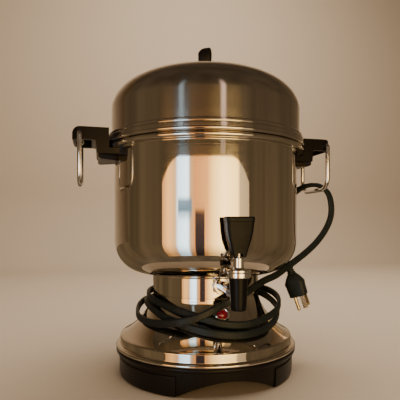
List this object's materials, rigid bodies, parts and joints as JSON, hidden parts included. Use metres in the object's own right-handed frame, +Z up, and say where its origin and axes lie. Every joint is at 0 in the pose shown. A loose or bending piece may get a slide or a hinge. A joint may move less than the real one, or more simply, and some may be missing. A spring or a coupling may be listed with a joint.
{
  "type": "coffee urn",
  "caption": "Electric percolator urn with a dome lid, swinging ring handles, front lever tap, flared footed base and a mains cord wound round its neck.",
  "frame": {"origin": "on the table, under the urn's axis of turning", "axes": "+Z up along the urn's axis, the tap looks along -Y, the handles stand out along +X and -X"},
  "size_m": [0.3449, 0.2679, 0.406],
  "materials": {
    "polished_steel": "mirror-polished stainless sheet with fine turned scratches",
    "brushed_steel": "satin-brushed stainless sheet, brushed round the axis",
    "chrome_plate": "bright chrome plate",
    "satin_steel": "plain satin steel",
    "zinc_steel": "zinc-plated steel hardware",
    "brass": "plain brass",
    "plug_brass": "nickel-washed brass blades",
    "black_phenolic": "black moulded phenolic, half gloss",
    "black_nylon": "glossy black moulded nylon",
    "cord_rubber": "black ribbed cord jacket and moulded rubber",
    "silicone": "red-brown silicone rubber",
    "ceramic": "off-white ceramic and heat-proof moulding",
    "wire_sleeve": "white braided sleeve",
    "red_lens": "clear red moulded lens"
  },
  "bodies": {
    "base": {"urn_vessel": "polished_steel", "base_skirt": "chrome_plate", "base_ring": "black_phenolic", "base_plate": "zinc_steel", "base_screws": "zinc_steel", "centre_stud": "zinc_steel", "stud_nut": "zinc_steel", "heater_well": "satin_steel", "well_gasket": "silicone", "well_nut": "brass", "heating_element": "satin_steel", "warming_element": "satin_steel", "thermostat": "ceramic", "thermal_fuse": "ceramic", "lead_wires": "wire_sleeve", "lamp_bezel": "chrome_plate", "lamp_lens": "red_lens", "lamp_holder": "ceramic", "strain_relief": "cord_rubber", "tap_shank": "chrome_plate", "shank_washers": "silicone", "shank_nut": "zinc_steel", "tap_body": "black_nylon", "tap_bonnet": "chrome_plate", "tap_spring": "satin_steel", "left_bracket": "black_phenolic", "right_bracket": "black_phenolic", "bracket_screws": "zinc_steel", "cord_wraps": "cord_rubber", "cord_loop": "cord_rubber", "plug_body": "cord_rubber", "plug_blades": "plug_brass", "plug_ground_pin": "plug_brass"},
    "lid": {"lid_shell": "brushed_steel", "lid_knob": "black_phenolic", "knob_screw": "zinc_steel"},
    "pump": {"pump_tube": "satin_steel", "pump_foot": "satin_steel"},
    "valve": {"valve_disc": "satin_steel"},
    "basket": {"coffee_basket": "satin_steel"},
    "cover": {"basket_cover": "satin_steel"},
    "stem": {"tap_stem": "satin_steel", "seat_cup": "silicone"},
    "lever": {"tap_lever": "black_nylon", "lever_pin": "satin_steel"},
    "left_handle": {"left_ring": "chrome_plate", "left_ring_clips": "zinc_steel"},
    "right_handle": {"right_ring": "chrome_plate", "right_ring_clips": "zinc_steel"}
  },
  "joints": [
    {"name": "lid_lift", "type": "slide", "parent": "base", "child": "lid", "axis": [0, 0, 1], "range_m": [0, 0.25]},
    {"name": "pump_lift", "type": "slide", "parent": "base", "child": "pump", "axis": [0, 0, 1], "range_m": [0, 0.055]},
    {"name": "valve_play", "type": "slide", "parent": "pump", "child": "valve", "axis": [0, 0, 1], "range_m": [0, 0.0025]},
    {"name": "basket_lift", "type": "slide", "parent": "pump", "child": "basket", "axis": [0, 0, 1], "range_m": [0, 0.03]},
    {"name": "cover_lift", "type": "slide", "parent": "basket", "child": "cover", "axis": [0, 0, 1], "range_m": [0, 0.02]},
    {"name": "stem_lift", "type": "slide", "parent": "base", "child": "stem", "axis": [0, 0, 1], "range_m": [0, 0.0038], "stiffness_N_per_m": 300, "springref_m": -0.004, "deforming": ["tap_spring"]},
    {"name": "lever_tilt", "type": "hinge", "parent": "stem", "child": "lever", "pos_m": [0, -0.131, 0.154], "axis": [1, 0, 0], "range_deg": [0, 45]},
    {"name": "left_ring_swing", "type": "hinge", "parent": "base", "child": "left_handle", "pos_m": [-0.155, 0, 0.286], "axis": [0, 1, 0], "range_deg": [-36, 150]},
    {"name": "right_ring_swing", "type": "hinge", "parent": "base", "child": "right_handle", "pos_m": [0.155, 0, 0.286], "axis": [0, -1, 0], "range_deg": [-36, 150], "deforming": ["cord_loop"]}
  ],
  "couplings": [
    {"joint": "lever_tilt", "follows": "stem_lift", "rad_per_m": 206.68}
  ]
}
